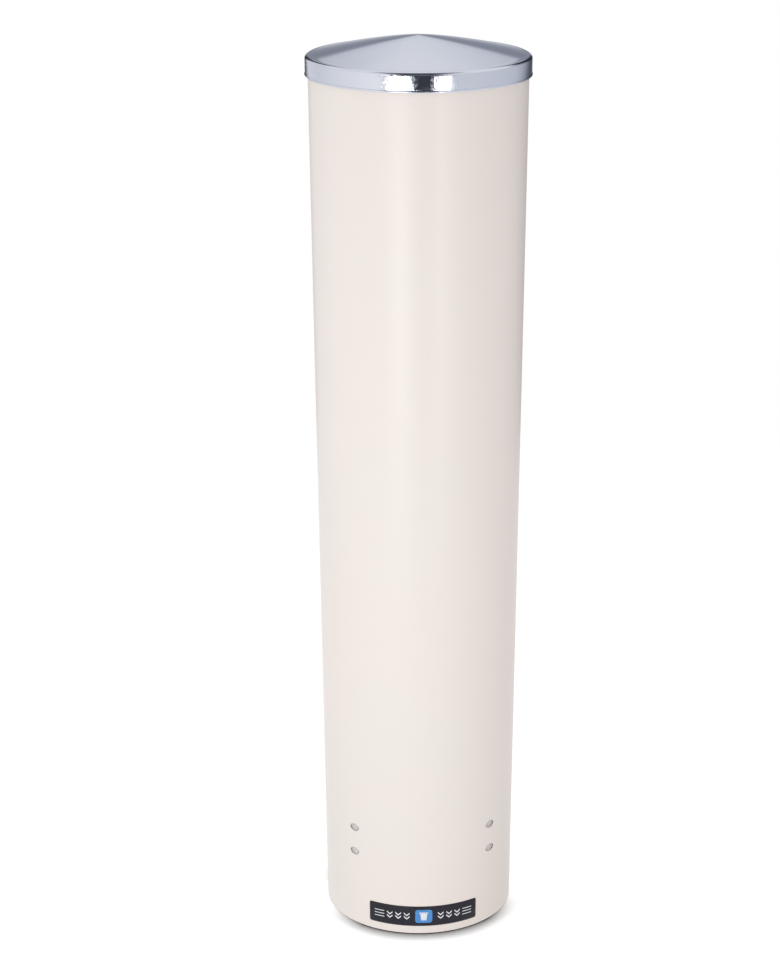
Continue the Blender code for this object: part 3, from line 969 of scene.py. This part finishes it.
def placeFingers():
    fingerStart, padStart, springStart = makeFinger(), makePad(), makeSpring()
    for station, angle, mirrored in stations:
        name = "".join(word.capitalize() for word in station.split("_"))
        one = copyTurned(fingerStart, "finger" + name, angle)
        finishPiece(one, naturalAcetal, "finger_" + station, ["cup_finger_" + station])
        one = copyTurned(padStart, "fingerPad" + name, angle, mirrored)
        finishPiece(one, naturalAcetal, "housing", ["finger_base_" + station])
        one = copyTurned(springStart, "fingerSpring" + name, angle)
        finishPiece(one, springSteel, "housing", ["finger_spring_" + station])
        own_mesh(one)
    for start in (fingerStart, padStart, springStart):
        bpy.data.objects.remove(start)


placeFingers()
print("fingers, pads and springs done")


bracket = {
    "width": 0.0440,
    "height": 0.0600,
    "wall": 0.0025,
    "corner": 0.0040,
    "places": {"upper": 0.480, "lower": 0.140},
    "clearance": 0.0045,
    "wrap": 0.003,
    "keyHead": 0.0045,
    "keySlot": 0.0025,
    "keyLength": 0.0100,
    "boss": 0.0038,
    "web": 0.0014,
    "saddleReach": 0.02,
    "edge": 0.0005,
    "panelDepth": 0.0004,
    "panelBorder": 0.0050,
    "panelCorner": 0.003,
    "headBorder": 0.0022,
    "slotBorder": 0.0008,
    "borderTurn": 0.3,
}
screw = {
    "spacing": 0.0400,
    "length": 0.0080,
    "radius": 0.0015,
    "point": 0.0010,
    "headRadius": 0.0029,
    "headHeight": 0.0020,
    "headEdge": 0.0006,
    "headSteps": 12,
    "headChamfer": 0.0001,
    "narrowing": (0.0008, 0.0010),
    "crossLength": 0.0034,
    "crossWidth": 0.0008,
    "crossDepth": 0.0011,
    "crossAbove": 0.001,
    "crossEdge": 0.00015,
    "pitch": 0.0010,
    "thread": 0.00025,
    "ridgeDepth": 0.0004,
    "ridge": (0.0010, 0.0013, 0.0016),
    "turnSteps": 24,
    "weld": 0.000001,
    "turned": 0.7,
    "upperTurned": 0.4,
}
wallPlane = tube["topRadius"] + capShell["sideClearance"] + capShell["wall"] + bracket["clearance"]


def seatOf(z):  # y of the underside of a screw's head
    return sqrt(boreRadius(z - screw["headRadius"]) ** 2 - screw["headRadius"] ** 2) - gap


def screwPlaces(z):  # heights of a bracket's two screws
    return z - screw["spacing"] / 2, z + screw["spacing"] / 2


def roundBlock(name, low, high, corner, steps=8):  # corners rounded along y
    outline = roundedOutline(low[0], high[0], low[2], high[2], corner, steps)
    return extrudeOutline(name, outline, low[1], high[1])


def bracketCore(z, low, high, front):  # what is hollowed out in front of the back plate
    half, wall, web = bracket["width"] / 2, bracket["wall"], bracket["web"] / 2
    start = (wall - half, front - overrun, low + wall)
    end = (half - wall, wallPlane - wall, high - wall)
    core = roundBlock("core", start, end, bracket["corner"] - wall, 5)
    before = front - 2 * overrun
    for at in screwPlaces(z):
        cut(core, addRod("boss", (0, before, at), (0, wallPlane, at), bracket["boss"], 40))
        # a web ties each boss to the side walls
        cut(core, addBlock("web", (-half, before, at - web), (half, wallPlane, at + web)))
    return core


def keyholePlaces(z):  # middles of the way in and of the slot's end
    return (0, z - bracket["keyLength"] / 2), (0, z + bracket["keyLength"] / 2)


def keyhole(z):
    head, slot, wall = bracket["keyHead"], bracket["keySlot"], bracket["wall"]
    wayIn, slotEnd = keyholePlaces(z)
    side = asin(slot / head)
    outline = arc(wayIn, head, pi / 2 + side, 2.5 * pi - side, 36)
    outline += arc(slotEnd, slot, 0, pi, 18)
    return extrudeOutline("keyhole", outline, wallPlane - 2 * wall, wallPlane + wall)


def backPanel(z, low, high):  # a shallow relief, with a border outside and one round the keyhole
    half, wall, border = bracket["width"] / 2, bracket["wall"], bracket["panelBorder"]
    start = (border - half, wallPlane - bracket["panelDepth"], low + border)
    end = (half - border, wallPlane + wall, high - border)
    panel = roundBlock("panel", start, end, bracket["panelCorner"], 6)
    wayIn, slotEnd = keyholePlaces(z)
    turn = bracket["borderTurn"]
    ring = arc(wayIn, bracket["keyHead"] + bracket["headBorder"], pi + turn, 2 * pi - turn, 24)
    ring += arc(slotEnd, bracket["keyHead"] + bracket["slotBorder"], 0, pi, 18)
    cut(panel, extrudeOutline("ring", ring, wallPlane - wall, wallPlane + 2 * wall))
    return panel


def makeBracket(place, z):
    half = bracket["width"] / 2
    low, high = z - bracket["height"] / 2, z + bracket["height"] / 2
    front = sqrt(outerRadius(low) ** 2 - half**2) - bracket["wrap"]
    start, end = (-half, front, low), (half, wallPlane, high)
    piece = roundBlock("wallBracket" + place.capitalize(), start, end, bracket["corner"])
    softenEdges(piece, bracket["edge"], 3, 60)
    cut(piece, bracketCore(z, low, high, front))
    reach = bracket["saddleReach"]
    cut(piece, addCore("saddle", -gap, low - reach, high + reach))
    for at in screwPlaces(z):
        end = seatOf(at) + screw["length"] + gap
        start = (0, front - overrun, at)
        cut(piece, addRod("pilot", start, (0, end, at), screw["radius"] + gap, 32))
    cut(piece, keyhole(z))
    cut(piece, backPanel(z, low, high))
    faceOut(piece)
    finishPiece(piece, sandPlastic, "housing", ["wall_bracket_" + place])


def screwShank():  # drawn upright with its head down
    r, top, head = screw["radius"], screw["headHeight"], screw["headRadius"]
    core, edge = r - screw["thread"], screw["headEdge"]
    outline = [(0, -top)]
    for i in range(1, screw["headSteps"] + 1):
        turn = pi / 2 * i / screw["headSteps"]
        outline.append((head * sin(turn), -edge - (top - edge) * cos(turn)))
    outline += [(head, -screw["headChamfer"]), (head - screw["headChamfer"], 0), (r, 0)]
    outline += [(r, screw["narrowing"][0]), (core, screw["narrowing"][1])]
    outline += [(core, screw["length"] - screw["point"]), (0, screw["length"])]
    return turnOutline("screwStart", outline, 40)


def cutCross(piece):
    long, narrow, top = screw["crossLength"], screw["crossWidth"], screw["headHeight"]
    for x, y in ((narrow, long), (long, narrow)):
        low, high = (-x / 2, -y / 2, -top - screw["crossAbove"]), (x / 2, y / 2, screw["crossDepth"] - top)
        cross = addBlock("cross", low, high)
        softenEdges(cross, screw["crossEdge"], 1)
        cut(piece, cross)


def screwThread():  # a small ridge wound along the shank
    outer, inner = screw["radius"], screw["radius"] - screw["ridgeDepth"]
    low, middle, high = screw["ridge"]
    ridge = traceLine("ridge", [(inner, 0, low), (outer, 0, middle), (inner, 0, high)])
    leaveEdit()
    settle(ridge)
    turns = int((screw["length"] - screw["point"] - high) / screw["pitch"])
    applyModifier(
        ridge, "SCREW", angle=2 * pi, screw_offset=screw["pitch"], iterations=turns, axis="Z",
        steps=screw["turnSteps"], render_steps=screw["turnSteps"], use_merge_vertices=False,
    )
    editAll(ridge)
    bpy.ops.mesh.remove_doubles(threshold=screw["weld"])
    bpy.ops.mesh.select_all(action="DESELECT")
    bpy.ops.mesh.select_non_manifold()
    bpy.ops.mesh.edge_face_add()
    leaveEdit()
    faceOut(ridge)
    return ridge


def makeScrew():
    piece = screwShank()
    cutCross(piece)
    joinTo(piece, [screwThread()])
    piece.rotation_euler.x = -pi / 2  # laid along y
    settle(piece)
    return piece


def placeBrackets():
    start = makeScrew()
    for place, z in bracket["places"].items():
        makeBracket(place, z)
        extra = screw["upperTurned"] if place == "upper" else 0
        for end, side, at in zip(("bottom", "top"), (-1, 1), screwPlaces(z)):
            one = copyTurned(start, "bracketScrew" + place.capitalize() + end.capitalize(), 0)
            one.location = (0, seatOf(at), at)
            one.rotation_euler.y = screw["turned"] * side + extra
            settle(one)
            finishPiece(one, zincPlate, "housing", ["bracket_screw_" + place + "_" + end])
    bpy.data.objects.remove(start)


placeBrackets()
print("brackets and screws done")


floorPlane = {
    "radius": 1.1,
    "opening": 0.061,
    "height": -0.0004,
    "colour": (0.82, 0.82, 0.82, 1),
    "glow": 0.50,
    # the contact entries shape a painted shadow on the floor round the tube's foot
    "contactReach": 0.024,
    "contactRange": (0.47, 0.82),
    "contactPower": 1.05,
    "contactSide": radians(3),
    "contactFade": (0.22, 0.74),
}


def makePaleFloor():
    material = bpy.data.materials.new("paleFloor")
    material.use_nodes = True
    tree = material.node_tree
    tree.nodes.clear()
    ways = addNode(tree, "LightPath")
    mirrored = addMath(tree, "MAXIMUM", ways["Is Glossy Ray"], ways["Is Transmission Ray"])
    seen = addMath(tree, "MAXIMUM", ways["Is Camera Ray"], mirrored)
    # painted contact shadow: close under the rim the floor's colour and glow are darkened, for camera rays
    # only
    reach = {"Distance": floorPlane["contactReach"]}
    paintedShadow = addNode(tree, "AmbientOcclusion", reach, samples=16)["AO"]
    paintedShadow = addRange(tree, paintedShadow, *floorPlane["contactRange"], 1.0, 0.0)
    paintedShadow = addMath(tree, "POWER", paintedShadow, floorPlane["contactPower"])
    # the painted shadow fades out towards the tube's left and right, and comes back behind it
    side = floorPlane["contactSide"]
    coords = addNode(tree, "TexCoord")["Object"]
    way = addNode(tree, "VectorMath", {0: coords}, operation="NORMALIZE")["Vector"]
    towards = (sin(side), -cos(side), 0)
    front = addNode(tree, "VectorMath", {0: way, 1: towards}, operation="DOT_PRODUCT")["Value"]
    fade = addRange(tree, addMath(tree, "ABSOLUTE", front), *floorPlane["contactFade"])
    # the painted shadow as a tone, white where there is none
    shade = addMix(tree, times(tree, paintedShadow, fade, ways["Is Camera Ray"]), (1, 1, 1, 1), (0, 0, 0, 1))
    colour = addMix(tree, 1.0, shade, floorPlane["colour"], "MULTIPLY")
    base = addNode(tree, "BsdfDiffuse", {"Color": colour})[0]
    strength = times(tree, seen, floorPlane["glow"])
    glow = addNode(tree, "Emission", {"Color": shade, "Strength": strength})[0]
    both = addNode(tree, "AddShader", {0: base, 1: glow})[0]
    # from below the floor can be seen through
    back, clear = addNode(tree, "NewGeometry")["Backfacing"], addNode(tree, "BsdfTransparent")[0]
    either = addNode(tree, "MixShader", {0: back, 1: both, 2: clear})[0]
    addNode(tree, "OutputMaterial", {"Surface": either})
    return material


def makeFloor():
    deselect()
    bpy.ops.mesh.primitive_circle_add(
        vertices=128, radius=floorPlane["radius"], fill_type="NGON", location=(0, 0, floorPlane["height"])
    )
    floor = bpy.context.object
    floor.name = "floor"
    # light comes up into the tube, so that its fingers show from below
    editAll(floor)
    bpy.ops.mesh.inset(thickness=floorPlane["radius"] - floorPlane["opening"])
    bpy.ops.mesh.delete(type="FACE")
    leaveEdit()
    floor.data.materials.append(makePaleFloor())


photoCamera = {
    "place": (-0.09044, -1.61762, 0.8557),
    "yaw": -0.05585,
    "pitch": 0.3276,
    "lens": 93.11,
    "sensor": 36,
    "shift": -0.0293,
    "nearest": 0.02,
}
# The light that falls on the object from left and right, and what polished metal mirrors. Heights are
# a direction's, from -1 straight down to 1 straight up. Turns are degrees round from the camera, to the right
studio = {
    "ambient": (0.75, 0.50),
    "ambientSpan": (-0.9, 0.9),
    # (turn, tone) round about
    "level": (
        (-180, 0.10), (-158, 0.10), (-152, 0.84), (-120, 0.87), (-105, 0.93), (-85, 1.03), (-60, 1.10),
        (-32, 1.16), (-31, 0.06), (31, 0.06), (32, 0.88), (60, 0.85), (84, 0.81), (104, 0.765), (118, 0.70),
        (132, 0.50), (145, 0.19), (153, 0.10), (180, 0.10),
    ),
    # (turn, share of dark) beside the back wall, above the table
    "dark": ((-173, 0), (-170, 1), (-163, 1), (-157, 0), (147, 0), (152, 1), (171, 1), (174, 0)),
    "darkTone": (0.04, 0.04, 0.045, 1),
    "darkFrom": (-0.07, -0.01),
    # over the lamps it opens out a little, so that the dome isn't black from behind
    "lampSide": (30, 32),
    "lampFrom": (0.08, 0.14),
    "lampTo": (0.60, 0.70),
    "lampTone": (0.22, 0.23, 0.27, 1),
    # (height, tone) straight behind, and (degrees aside from there, how much of it is left)
    "behind": (
        (-0.20, 0.60), (-0.05, 0.56), (0.02, 0.45), (0.06, 0.38), (0.10, 0.34), (0.18, 0.305), (0.243, 0.34),
        (0.269, 0.48), (0.30, 0.72), (0.34, 0.80), (0.40, 0.87), (0.50, 0.92), (0.58, 0.93),
    ),
    "behindSpan": (-0.2, 0.6),
    "aside": ((0, 1.0), (2, 0.98), (4, 0.97), (6, 0.93), (8, 0.86), (12, 0.82)),
    "asideSpan": (0, 15),
    "behindFrom": (167, 172),
    # the ceiling is pale all round but over the camera, and dark straight overhead
    "ceilingSide": (29, 33),
    "ceilingFrom": (0.50, 0.62),
    "overheadFrom": (0.90, 0.96),
    "overheadTone": (0.12, 0.12, 0.14, 1),
    "cooling": (-0.08, 0.23),  # how far red and blue shift as a tone darkens
}


def addRamp(tree, value, stops, low=-180, high=180):  # a tone for each place between low and high
    ramp = tree.nodes.new("ShaderNodeValToRGB")
    feed(tree, ramp, {"Fac": addRange(tree, value, low, high)})
    points = ramp.color_ramp.elements
    points.remove(points[1])
    points[0].position = 0
    for i, (place, tone) in enumerate(stops):
        point = points[0] if i == 0 else points.new((place - low) / (high - low))
        point.position = (place - low) / (high - low)
        red, blue = (1 + shift * (1 - tone) for shift in studio["cooling"])
        point.color = (tone * red, tone, tone * blue, 1)
    return ramp.outputs["Color"]


def mirroredTones(tree, parts):
    height = parts["Z"]
    turn = addMath(tree, "ARCTAN2", parts["X"], times(tree, parts["Y"], -1.0))
    turn = addMath(tree, "DEGREES", addMath(tree, "SUBTRACT", turn, photoCamera["yaw"]))
    away = addMath(tree, "ABSOLUTE", turn)
    dark = times(tree, addRamp(tree, turn, studio["dark"]), addRange(tree, height, *studio["darkFrom"]))
    tone = addMix(tree, dark, addRamp(tree, turn, studio["level"]), studio["darkTone"])
    overLamps = times(
        tree,
        addRange(tree, away, *studio["lampSide"], 1.0, 0.0),
        addRange(tree, height, *studio["lampFrom"]),
        addRange(tree, height, *studio["lampTo"], 1.0, 0.0),
    )
    tone = addMix(tree, overLamps, tone, studio["lampTone"])
    aside = addRamp(tree, addMath(tree, "SUBTRACT", 180.0, away), studio["aside"], *studio["asideSpan"])
    behind = addRamp(tree, height, studio["behind"], *studio["behindSpan"])
    behind = addMix(tree, 1.0, behind, aside, "MULTIPLY")
    tone = addMix(tree, addRange(tree, away, *studio["behindFrom"]), tone, behind)
    ceiling = addRange(tree, away, *studio["ceilingSide"])
    ceiling = times(tree, ceiling, addRange(tree, height, *studio["ceilingFrom"]))
    tone = addMix(tree, ceiling, tone, (1, 1, 1, 1))
    return addMix(tree, addRange(tree, height, *studio["overheadFrom"]), tone, studio["overheadTone"])


def makeWorld():
    world = bpy.data.worlds.new("studioWorld")
    bpy.context.scene.world = world
    world.use_nodes = True
    tree = world.node_tree
    tree.nodes.clear()
    ways = addNode(tree, "LightPath")
    parts = addNode(tree, "SeparateXYZ", {"Vector": addNode(tree, "TexCoord")["Generated"]})
    side = addRange(tree, parts["X"], *studio["ambientSpan"], *studio["ambient"])
    plain = addNode(tree, "CombineColor", {"Red": side, "Green": side, "Blue": side})[0]
    mirrored = addMath(tree, "MAXIMUM", ways["Is Glossy Ray"], ways["Is Transmission Ray"])
    ambient = addMix(tree, mirrored, plain, mirroredTones(tree, parts))
    shown = addMix(tree, ways["Is Camera Ray"], ambient, (1, 1, 1, 1))
    background = addNode(tree, "Background", {"Color": shown, "Strength": 1.0})[0]
    addNode(tree, "OutputWorld", {"Surface": background})


# Each lamp is at (degrees from the front, to the right; distance; height)
lamps = {
    "leftSoftbox": {"at": (-21.9, 1.2, 0.235), "size": (0.375, 0.47), "power": 4.18, "tint": (0.975, 1, 1)},
    "rightSoftbox": {"at": (20.9, 1.2, 0.235), "size": (0.182, 0.47), "power": 2.17, "tint": (1, 0.97, 0.97)},
    "leftPanel": {"at": (-100, 0.6, 0.37), "size": (0.3, 0.5), "power": 0.64, "tint": (1, 1, 1)},
    "rightPanel": {"at": (100, 0.6, 0.42), "size": (0.3, 0.5), "power": 0.63, "tint": (1, 0.91, 0.88)},
}


def makeLamp(name, values):
    azimuth, distance, height = values["at"]
    angle = radians(azimuth)
    place = Vector((distance * sin(angle), -distance * cos(angle), height))
    bpy.ops.object.light_add(type="AREA", location=place)
    lamp = bpy.context.object
    lamp.name = name
    lamp.rotation_euler = (Vector((0, 0, height)) - place).to_track_quat("-Z", "Y").to_euler()
    lamp.data.shape = "RECTANGLE"
    lamp.data.size, lamp.data.size_y = values["size"]
    lamp.data.energy = values["power"]
    lamp.data.color = values["tint"]
    lamp.visible_camera = False
    lamp.visible_glossy = "Softbox" in name  # the panels light the tube but aren't mirrored


def makeCamera():
    data = bpy.data.cameras.new("photoCamera")
    data.sensor_width = photoCamera["sensor"]
    data.lens = photoCamera["lens"]
    data.shift_x = photoCamera["shift"]
    data.clip_start = photoCamera["nearest"]
    camera = bpy.data.objects.new("photoCamera", data)
    bpy.context.scene.collection.objects.link(camera)
    camera.location = photoCamera["place"]
    camera.rotation_euler = (pi / 2 - photoCamera["pitch"], 0, photoCamera["yaw"])
    bpy.context.scene.camera = camera


makeFloor()
makeWorld()
for name, values in lamps.items():
    makeLamp(name, values)
makeCamera()
bpy.context.scene.view_settings.view_transform = "Standard"
print("stage and camera done")

deselect()
